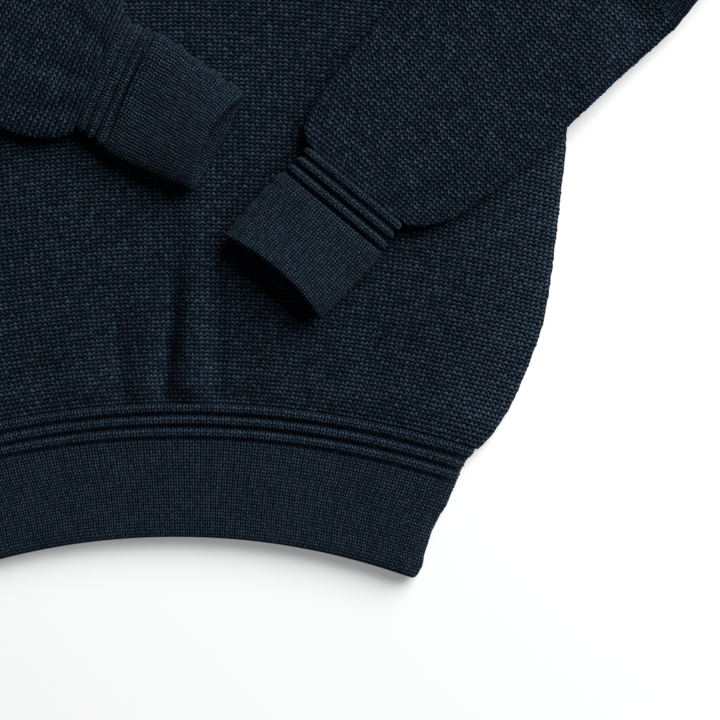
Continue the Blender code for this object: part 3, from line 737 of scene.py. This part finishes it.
# %% Where the sleeves lie
ARM_HEIGHT, FOLD_GAP, FOREARM_FLOOR = 0.0125, 0.0012, 0.0131
FOLD_BEND = (ARM_HEIGHT + FOLD_GAP) / 2
FOREARM = (  # back from the wrist, half width underneath, half width on top, height
    (0.000, 0.0480, 0.0485, 0.0170),
    (0.006, 0.0565, 0.0570, 0.0170),
    (0.030, 0.0700, 0.0640, 0.0158),
    (0.059, 0.0770, 0.0675, 0.0146),
    (0.095, 0.0835, 0.0690, 0.0136),
    (0.141, 0.0880, 0.0715, 0.0128),
    (0.194, 0.0925, 0.0745, 0.0125),
    (0.249, 0.0985, 0.0765, 0.0125),
)
ARMS = {  # places are x and y, headings are degrees round from +X
    "right": {
        "wrist": (0.1212, 0.2731), "wrist_deg": 140.5, "back_deg": 48.0,
        "crease_low": (0.4000, 0.4415), "crease_high": (0.3395, 0.6280), "out": 1,
        "cuff_end": (0.0585, 0.2042), "cuff_deg": 139.2, "lip": 1.00, "bow": 0.0060,
    },
    "left": {
        "wrist": (-0.0714, 0.3571), "wrist_deg": 67.0, "back_deg": 150.0,
        "crease_low": (-0.3717, 0.4030), "crease_high": (-0.3774, 0.5950), "out": -1,
        "cuff_end": (0.0185, 0.3042), "cuff_deg": 62.0, "lip": 0.86, "bow": 0.0080,
    },
}
SAG, SAG_START, SAG_REACH, WRIST_TURN = 0.0075, 0.014, 0.045, 0.040
TUBE_POINTS, SLEEVE_POWER, CUFF_POWER = 120, 4.5, 3.5


def tube_ring(count, power):
    """Shares of the half width and half height round a flattened tube, from its lower edge."""
    angle = -math.pi + 2 * math.pi * (np.arange(count) + 0.5) / count
    across = np.cos(angle)
    upward = (1 - np.abs(across) ** power) ** (1 / power)
    return across, np.copysign(upward, -np.sin(angle))


def way_round(rings):
    """Distance round each ring from its first point."""
    gaps = np.linalg.norm(np.diff(rings, axis=1), axis=2)
    return np.concatenate((np.zeros((len(rings), 1)), np.cumsum(gaps, 1)), 1)


def heading(degrees):
    return np.array((math.cos(math.radians(degrees)), math.sin(math.radians(degrees))))


def forearm_floor(x, y, arm):
    """Height of a forearm's underside."""
    out = arm["out"]
    beside = out * x - half_width(y)
    run = np.clip((out * x - ARMPIT[0]) / (out * arm["crease_low"][0] - ARMPIT[0]), 0.0, 1.0)
    below = ARMPIT[1] + (arm["crease_low"][1] - ARMPIT[1]) * run - y
    return FOREARM_FLOOR - SAG * soft_step((np.minimum(beside, below) - SAG_START) / SAG_REACH)


# %% [markdown]
# ## One ring of a sleeve
#
# A level ring needs its two edge points, its height and what it lies on. A ring in the fold is
# turned about the fold line instead. Near the cuff the top of a sleeve is gathered into short
# soft pleats, and its side edges carry the small bumps of the courses.

# %% Rings and gathers
BUMP_FOCUS, TOP_FOCUS = 6, 3  # how narrowly the bumps keep to the side, and the pleats on top
GATHER_TAIL, GATHER_ROOT, GATHER_RISE = 1.1, 0.3, 0.010
GATHERS = (  # share across the sleeve, turn of that share to its end, reach, width, height
    (-0.62, -0.10, 0.055, 0.050, -0.0016),
    (-0.38, 0.06, 0.085, 0.070, 0.0016),
    (-0.16, -0.05, 0.060, 0.045, -0.0018),
    (0.12, 0.02, 0.095, 0.080, 0.0014),
    (0.33, 0.10, 0.050, 0.045, -0.0016),
    (0.58, 0.04, 0.075, 0.060, 0.0014),
)


def gathers(across, distance):
    """Soft pleats that run up a sleeve from the cuff and die away."""
    lift = np.zeros_like(across)
    for place, turn, reach, width, height in GATHERS:
        fade = soft_step(GATHER_TAIL - distance / reach)
        fade = float(fade * soft_step(GATHER_ROOT + distance / GATHER_RISE))
        lift = lift + height * fade * hump(across - place - turn * distance / reach, width)
    return lift


def level_ring(arm, under, upper, height, rise, wall, ring, bump, distance):
    """A ring between two edge points. On the table rise is None."""
    across, centre = (upper - under) / 2, (upper + under) / 2
    a, b = ring
    inset = 1 - (wall - bump * (wall == 0.0) * a ** BUMP_FOCUS) / np.linalg.norm(across)
    x, y = (centre[:, None] + across[:, None] * a * inset)
    low = 0.0 if rise is None else forearm_floor(x, y, arm) + rise
    side = 1 if rise is None else -1
    z = low + height / 2 + side * (height / 2 - wall) * b
    if rise is not None:
        z = z + (gathers(a, distance) + swells(x, y)) * np.clip(-b, 0.0, 1.0) ** TOP_FOCUS
    return np.stack((x, y, z), -1)


def fold_ring(arm, degrees, wall, ring):
    """A ring turned about the fold line, 0 degrees below and 180 above."""
    low, high = np.array(arm["crease_low"]), np.array(arm["crease_high"])
    half = np.linalg.norm(high - low) / 2
    crease = (high - low) / (2 * half)
    outward = np.array((crease[1], -crease[0])) * arm["out"]
    turn = math.radians(degrees)
    a, b = ring
    normal = (ARM_HEIGHT / 2 - wall) * b
    centre = (low + high) / 2 + outward * FOLD_BEND * math.sin(turn)
    x, y = (centre[:, None] + crease[:, None] * (half - wall) * a
            - outward[:, None] * normal * math.sin(turn))
    z = ARM_HEIGHT + FOLD_GAP / 2 + (normal - FOLD_BEND) * math.cos(turn)
    return np.stack((x, y, z), -1)


# %% [markdown]
# ## One sleeve, from the armhole to the wrist
#
# The rings are listed in order: out along the table, round the fold, back over the body and
# then close together down the forearm, which the picture shows. The courses are counted along
# the sleeve and the wales round each ring. Where the sleeve narrows its wales lie closer, but
# not as much as it narrows, because wales are also dropped there.

# %% The sleeves
SLEEVE_WALE, SLEEVE_COURSE, SLEEVE_DRAW = 0.0046, 0.00335, 0.55
UPPER_RINGS, FOLD_RINGS, BACK_RINGS, FOREARM_RINGS = 28, 19, 18, 220
RISE_FADE, NO_GATHERS = 0.4, 1.0


def sleeve(name, arm):
    out = arm["out"]
    armpit, shoulder = (np.array((out * p[0], p[1])) for p in (ARMPIT, SHOULDER))
    low, high = np.array(arm["crease_low"]), np.array(arm["crease_high"])
    lean = (shoulder - armpit) / np.linalg.norm(shoulder - armpit)
    clear = np.array((lean[1], -lean[0])) * out * SEAM_GAP
    ring = tube_ring(TUBE_POINTS, SLEEVE_POWER)
    rings = []  # outer ring, inner ring, way along

    def add_level(under, upper, height, rise, way, distance=NO_GATHERS):
        bump = float(edge_stitches(np.array(way / SLEEVE_COURSE)))
        rings.append([level_ring(arm, under, upper, height, rise, wall, ring, bump, distance)
                      for wall in (0.0, KNIT)] + [way])

    reach = np.linalg.norm((low + high - armpit - shoulder) / 2)
    for share in np.linspace(0, 1, UPPER_RINGS, endpoint=False):
        add_level(blend(armpit + clear, low, share), blend(shoulder + clear, high, share),
                  ARM_HEIGHT, None, reach * share)
    for degrees in np.linspace(0, 180, FOLD_RINGS):
        rings.append([fold_ring(arm, degrees, wall, ring) for wall in (0.0, KNIT)]
                     + [reach + FOLD_BEND * math.radians(degrees)])
    reach += FOLD_BEND * math.pi

    def forearm_edges(distance):
        square = arm["back_deg"] + 90 * out
        across = heading(blend(arm["wrist_deg"], square, soft_step(distance / WRIST_TURN)))
        axis = np.array(arm["wrist"]) + heading(arm["back_deg"]) * distance
        return (axis - across * through(FOREARM, distance, 1),
                axis + across * through(FOREARM, distance, 2),
                float(through(FOREARM, distance, 3)))

    far = FOREARM[-1][0]
    under, upper, height = forearm_edges(far)
    span = np.linalg.norm((under + upper - low - high) / 2)
    for share in np.linspace(0, 1, BACK_RINGS, endpoint=False)[1:]:
        rise = FOLD_GAP * (1 - soft_step(share / RISE_FADE))
        add_level(blend(low, under, share), blend(high, upper, share), height, rise,
                  reach + span * share)
    reach += span
    for distance in far * np.linspace(1, 0, FOREARM_RINGS):
        add_level(*forearm_edges(distance), 0.0, reach + far - distance, distance)
    outer, inner = (np.stack([r[k] for r in rings]) for k in (0, 1))
    way = np.array([r[2] for r in rings])[:, None]
    round_way = way_round(outer)
    girth = round_way[:, -1:] + np.linalg.norm(outer[:, :1] - outer[:, -1:], axis=2)
    wale = SLEEVE_WALE * (girth / girth[:len(girth) // 2].max()) ** SLEEVE_DRAW
    quarter = TUBE_POINTS // 4
    wales = (round_way - round_way[:, quarter:quarter + 1]) / wale
    whole = girth / wale
    courses = way / SLEEVE_COURSE + 0 * wales
    return knit_wall(name, outer, inner, wales, courses, BODY_KNIT, whole)


sleeve_right = sleeve("sleeve_right_knit", ARMS["right"])
sleeve_left = sleeve("sleeve_left_knit", ARMS["left"])

# %% [markdown]
# ## Cuffs
#
# A cuff is a short double tube like the hem, with three ridges where the sleeve is drawn in
# and a plain part that opens a little and stands up on its folded edge. Its upper lip bows
# back towards the wrist, so the mouth gapes, and between the last ridge and the plain part
# is a step. On the left cuff the step is a deep slit, and the plain part's rim reaches over it.
# The cuff's far side edge wavers a little.

# %% Cuffs
CUFF_SHAPE = (  # share of the plain part, half width, height, underside
    (0.00, 0.0470, 0.0185, 0.0135),
    (0.14, 0.0490, 0.0205, 0.0135),
    (0.50, 0.0488, 0.0205, 0.0145),
    (0.85, 0.0483, 0.0205, 0.0160),
    (0.97, 0.0480, 0.0200, 0.0165),
    (1.00, 0.0480, 0.0198, 0.0166),
)
WRIST_HALF, WRIST_HEIGHT, WRIST_SPREAD = 0.0440, 0.0165, 0.0010
LIP_OUT, LIP_RISE, BOW_POWER, RISE_POWER = 0.0020, 0.0065, 2, 1.5
WOBBLE, WOBBLE_REACH = 0.0006, 0.0024
SWELL_SPREAD = 0.1
STEPS = {  # depth, half width, share across where it is deepest, reach across, overhang
    "right": (0.0014, 0.0010, -0.20, 0.90, 0.0),
    "left": (0.0098, 0.0020, 0.12, 0.46, 0.0026),
}
STEP_INSIDE, STEP_POWER = 0.48, 4


def even_wales(rings, whole):
    """The same count of wales round every ring of a tube."""
    round_way = way_round(rings)
    count = rings.shape[1]
    return round_way / round_way[:, -1:] * whole * (count - 1) / count


def cuff(name, arm, step):
    start, end = np.array(arm["wrist"]), np.array(arm["cuff_end"])
    length = np.linalg.norm(end - start)
    along = (end - start) / length
    ridge_end = RIDGES * CUFF_RIDGE_PITCH
    a, b = tube_ring(TUBE_POINTS, CUFF_POWER)
    top, bottom = np.clip(-b, 0.0, 1.0), np.clip(b, 0.0, 1.0)
    step_depth, step_width, step_place, step_reach, overhang = step
    outer, inner, ways = [], [], []
    for distance in np.maximum(band_rows(ridge_end, length), SEAM_GAP):
        centre = start + along * distance
        across = heading(blend(arm["wrist_deg"], arm["cuff_deg"], distance / length))
        share = max(0.0, (distance - ridge_end) / (length - ridge_end))
        half, height, floor = (float(through(CUFF_SHAPE, share, k)) for k in (1, 2, 3))
        half = half * blend(1.0, arm["lip"], share)
        if distance < ridge_end:
            ease = float(soft_step(distance / ridge_end))
            half, height = WRIST_HALF + WRIST_SPREAD * ease, WRIST_HEIGHT + WRIST_SPREAD * ease
            floor = FOREARM_FLOOR + CUFF_RIDGE_HEIGHT
        swell = float(ridge_lift(np.array(distance), CUFF_RIDGE_PITCH, CUFF_RIDGE_HEIGHT,
                                 CUFF_GROOVES))
        rounding = FOLD_EDGE * (1 - float(round_edge(length - distance, FOLD_EDGE * 2)))
        slit = math.exp(-((distance - ridge_end) / step_width) ** STEP_POWER)
        step_here = top * hump(a - step_place, step_reach)
        step_in = step_depth * slit * step_here
        brim = hump(distance - ridge_end - 2 * step_width, step_width)
        shift = (LIP_OUT * bottom - arm["bow"] * top) * (1 - a * a) * share ** BOW_POWER
        shift = shift + overhang * (slit - brim) * step_here
        lift = LIP_RISE * top * (1 - a * a) * share ** RISE_POWER
        lift = lift + swells(centre[0] + SWELL_SPREAD * a, centre[1])
        for grid, wall in ((outer, rounding - swell + step_in),
                           (inner, BAND - rounding + STEP_INSIDE * step_in)):
            edge = half - wall + float(edge_stitches(np.array(distance / BAND_COURSE)))
            edge = edge + WOBBLE * math.sin(distance / WOBBLE_REACH) * (a > 0)
            x, y = centre[:, None] + across[:, None] * edge * a + along[:, None] * shift
            z = floor + height / 2 - (height / 2 - wall) * b + lift
            grid.append(np.stack((x, y, z), -1))
        ways.append(ridge_courses(distance, CUFF_RIDGE_PITCH))
    outer, inner = np.stack(outer), np.stack(inner)
    whole = round(float(way_round(outer)[-1, -1]) / BAND_WALE)
    wales = even_wales(outer, whole)
    courses = -np.array(ways)[:, None] + 0 * wales
    return knit_wall(name, outer, inner, wales, courses, BAND_KNIT, whole)


cuff_right = cuff("cuff_right_knit", ARMS["right"], STEPS["right"])
cuff_left = cuff("cuff_left_knit", ARMS["left"], STEPS["left"])

# %% [markdown]
# ## The collar
#
# The neck is a tube that is turned over once outwards, so a second layer lies on the first.
# It is outside the picture and is made plain, in the finish of the bands.

# %% The collar
COLLAR_KNIT = 0.0036
COLLAR_POINTS, COLLAR_RINGS, TURN_RINGS = 160, 28, 11
COLLAR_TOP_Y, COLLAR_HALF = 0.770, 0.087
COLLAR_SLIT, COLLAR_FOLD_GAP = 0.0020, 0.0006
COLLAR_FRONT_LAP, COLLAR_BACK_SHORT = 0.004, 0.016
COLLAR_SIDE_RISE, COLLAR_LAP_START, COLLAR_EASE, COLLAR_POWER = 0.006, 0.75, 0.30, 4.0


def collar(name):
    bend = (COLLAR_KNIT + COLLAR_FOLD_GAP) / 2
    inner_leg = COLLAR_SLIT / 2 + COLLAR_KNIT / 2
    outer_leg = inner_leg + 2 * bend
    level = outer_leg + COLLAR_KNIT / 2
    seam_level = BODY_HEIGHT / 2
    seam_leg = BODY_HEIGHT / 2 - KNIT + COLLAR_KNIT / 2
    a, b = tube_ring(COLLAR_POINTS, COLLAR_POWER)
    path = []  # stretch, share of the way up, distance from the middle, level, degrees turned
    for share in np.linspace(0, 1, COLLAR_RINGS):
        ease = float(soft_step(share / COLLAR_EASE))
        path.append(("up", share, blend(seam_leg, inner_leg, ease),
                     blend(seam_level, level, ease), 0.0))
    for degrees in np.linspace(0, 180, TURN_RINGS)[1:-1]:
        path.append(("turn", 1.0, inner_leg + bend, level, degrees))
    for share in np.linspace(1, 0, COLLAR_RINGS):
        path.append(("down", share, outer_leg, level, 180.0))
    outside, inside, ways, way = [], [], [], 0.0
    for stretch, share, leg, middle, degrees in path:
        turn = math.radians(degrees)
        for grid, offset in ((outside, COLLAR_KNIT / 2), (inside, -COLLAR_KNIT / 2)):
            reach, rise = leg, 0.0
            if stretch == "up":
                reach -= offset
            elif stretch == "down":
                reach += offset
            else:
                reach -= (bend + offset) * math.cos(turn)
                rise = (bend + offset) * math.sin(turn)
            x = (COLLAR_HALF + reach) * a
            depth = np.where(b > 0, FRONT_NECK_DEPTH, BACK_NECK_DEPTH)
            low = neck_y(x, depth) + SEAM_GAP
            if stretch == "down":
                lap = np.where(b > 0, low - COLLAR_FRONT_LAP, low + COLLAR_BACK_SHORT)
                face = soft_step((np.abs(b) - COLLAR_LAP_START) / (1 - COLLAR_LAP_START))
                low = blend(NECK_POINT[1] + COLLAR_SIDE_RISE, lap, face)
            grid.append(np.stack((x, blend(low, COLLAR_TOP_Y - bend, share) + rise,
                                  middle + reach * b), -1))
        if len(outside) > 1:
            way += float(np.linalg.norm(outside[-1] - outside[-2], axis=1).max())
        ways.append(way / BAND_COURSE)
    outer, inner = np.stack(outside), np.stack(inside)
    whole = round(4 * COLLAR_HALF / BAND_WALE)
    wales = even_wales(outer, whole)
    courses = np.array(ways)[:, None] + 0 * wales
    return knit_wall(name, outer, inner, wales, courses, BAND_KNIT, whole)


neck = collar("collar_knit")

# %% [markdown]
# ## What each piece stands for
#
# Every piece rides on the one body and stands for its wall in the frame, which is hidden; its
# finish is the material named as its slot. Each is a sheet of cloth, laid or folded, and its
# cut is given as it would be measured on the knitter's table: a tube is opened out.

# %% Pieces, slots and sheets
PIECES = (  # piece, walls it stands for, slot, flat cut, held, lies on, area
    (front, ("front",), "body_knit", (0.570, 0.615), "laid", ["back"], 0.317),
    (back, ("back",), "body_knit", (0.570, 0.615), "laid", [], 0.319),
    (hem_front, ("hem_front",), "band_knit", (0.398, 0.109), "laid", ["hem_back"], None),
    (hem_back, ("hem_back",), "band_knit", (0.398, 0.103), "laid", [], None),
    (sleeve_right, ("sleeve_right", "forearm_right"), "body_knit", (0.420, 0.500), "folded",
     ["front"], 0.162),
    (sleeve_left, ("sleeve_left", "forearm_left"), "body_knit", (0.420, 0.500), "folded",
     ["front"], 0.157),
    (cuff_right, ("cuff_right",), "band_knit", (0.205, 0.098), "laid", ["front"], None),
    (cuff_left, ("cuff_left",), "band_knit", (0.205, 0.098), "laid", ["front"], None),
    (neck, ("collar",), "band_knit", (0.380, 0.182), "folded", ["front", "back"], None),
)
for piece, walls, slot, flat, held, rests_on, area in PIECES:
    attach(piece, "root")
    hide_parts(*walls)
    print(piece.name, "stands for", ", ".join(walls))

# %% [markdown]
# ## The table
#
# The table is a plain white square just under the sweater. Beside a cloth so dark it comes out
# pure white in the picture, so it glows a little of its own as well.

# %% The table
TABLE_HALF, TABLE_LEVEL = 4.0, -0.0004
TABLE_TONE, TABLE_ROUGHNESS = (0.70, 0.70, 0.70, 1.0), 0.9
GLOW_TONE, GLOW = (0.97, 0.99, 1.0, 1.0), 0.25
table_corners = [(x * TABLE_HALF, y * TABLE_HALF, TABLE_LEVEL)
                 for x, y in ((-1, -1), (1, -1), (1, 1), (-1, 1))]
table_mesh = bpy.data.meshes.new("table")
table_mesh.from_pydata(table_corners, [], [(0, 1, 2, 3)])
table = bpy.data.objects.new("table", table_mesh)
bpy.context.scene.collection.objects.link(table)
white = bpy.data.materials.new("table_white")
white.use_nodes = True
table_shader = white.node_tree.nodes["Principled BSDF"]
table_shader.inputs["Base Color"].default_value = TABLE_TONE
table_shader.inputs["Roughness"].default_value = TABLE_ROUGHNESS
table_shader.inputs["Emission Color"].default_value = GLOW_TONE
table_shader.inputs["Emission Strength"].default_value = GLOW
table_mesh.materials.append(white)
print("table", 2 * TABLE_HALF, "m square")

# %% [markdown]
# ## The light
#
# One large soft light stands off to the upper right, like a window, 38 degrees up, so the
# ridges, cuffs and sleeves throw soft dark shadows to the lower left. A weak even light comes
# from all round.

# %% The light
ROOM_LIGHT = 0.06
LAMP_TURN, LAMP_UP, LAMP_AWAY = 45.0, 38.0, 6.0  # degrees round from +X, degrees up, metres
LAMP_SIZE, LAMP_POWER = 4.8, 715.0
VIEW_CENTRE = np.array((0.12375, 0.1425, 0.0125)) + STEP
world = bpy.data.worlds.new("soft_room")
bpy.context.scene.world = world
world.use_nodes = True
world.node_tree.nodes["Background"].inputs["Color"].default_value = (1.0, 1.0, 1.0, 1.0)
world.node_tree.nodes["Background"].inputs["Strength"].default_value = ROOM_LIGHT
turn, up = math.radians(LAMP_TURN), math.radians(LAMP_UP)
lamp_place = VIEW_CENTRE + LAMP_AWAY * np.array((
    math.cos(turn) * math.cos(up),
    math.sin(turn) * math.cos(up),
    math.sin(up),
))
lamp_data = bpy.data.lights.new("window", "AREA")
lamp_data.shape = "SQUARE"
lamp_data.size = LAMP_SIZE
lamp_data.energy = LAMP_POWER
lamp = bpy.data.objects.new("window", lamp_data)
bpy.context.scene.collection.objects.link(lamp)
lamp.location = lamp_place
lamp.rotation_mode = "QUATERNION"
lamp.rotation_quaternion = Vector(VIEW_CENTRE - lamp_place).to_track_quat("-Z", "Y")
print("lamp at, m:", lamp_place.round(2))

# %% [markdown]
# ## The camera
#
# The camera looks straight down at the lower right of the body from 1.8 m, and its lens is
# long enough for the frame to be 540 mm wide on the table. Colours are shown as they are, with
# no film look, so that the white stays white.

# %% The camera
CAMERA_HEIGHT, FRAME_WIDTH, SENSOR = 1.8, 0.540, 36.0
camera_data = bpy.data.cameras.new("camera")
camera_data.sensor_width = SENSOR
camera_data.lens = SENSOR * CAMERA_HEIGHT / FRAME_WIDTH
camera = bpy.data.objects.new("camera", camera_data)
bpy.context.scene.collection.objects.link(camera)
camera.location = (VIEW_CENTRE[0], VIEW_CENTRE[1], VIEW_CENTRE[2] + CAMERA_HEIGHT)
bpy.context.scene.camera = camera
bpy.context.scene.view_settings.view_transform = "Standard"
print("lens, mm:", round(camera_data.lens, 1))
